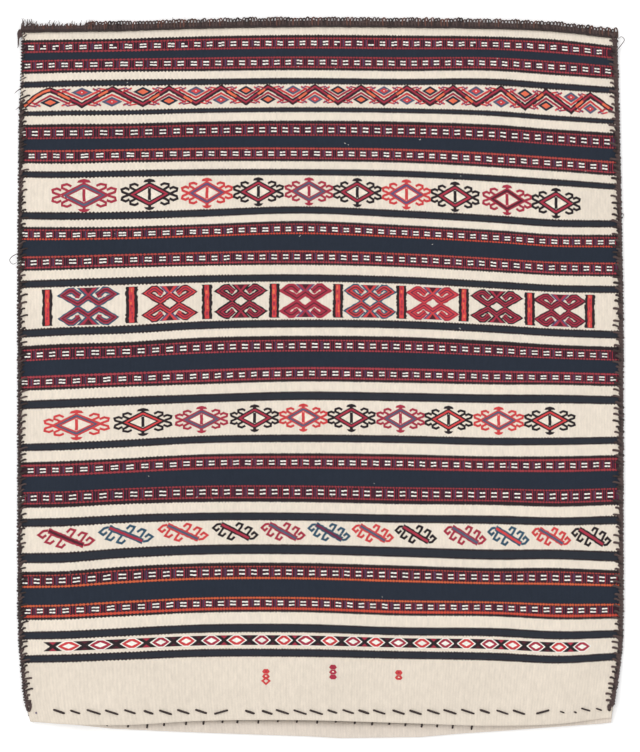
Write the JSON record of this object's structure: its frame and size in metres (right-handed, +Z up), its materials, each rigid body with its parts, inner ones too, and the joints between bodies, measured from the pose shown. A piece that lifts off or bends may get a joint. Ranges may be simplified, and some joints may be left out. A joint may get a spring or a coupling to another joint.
{
  "type": "flatwoven saddle bag pouch",
  "caption": "Large flat square pouch of banded flatweave, sewn shut down both sides with thick yarn, with an open hemmed mouth at one end and a short fringe at the other.",
  "frame": {"origin": "middle of the underside of the pouch as it lies flat on its back", "axes": "+Z up, out of the patterned front panel; +Y from the open mouth to the fringed base; +X to the right seen from the front"},
  "size_m": [0.607, 0.7206, 0.0175],
  "materials": {
    "kilim_cloth": "matte wool flatweave, banded in ivory, navy, red and black",
    "ivory_cloth": "matte undyed wool flatweave",
    "brown_yarn": "matte thick dark brown wool yarn",
    "dark_thread": "matte dark brown sewing thread"
  },
  "bodies": {
    "root": {"front_panel": "kilim_cloth", "back_panel": "ivory_cloth", "left_side_binding": "brown_yarn", "right_side_binding": "brown_yarn", "base_binding": "brown_yarn", "front_hem_thread": "dark_thread", "back_hem_thread": "dark_thread"}
  },
  "joints": []
}
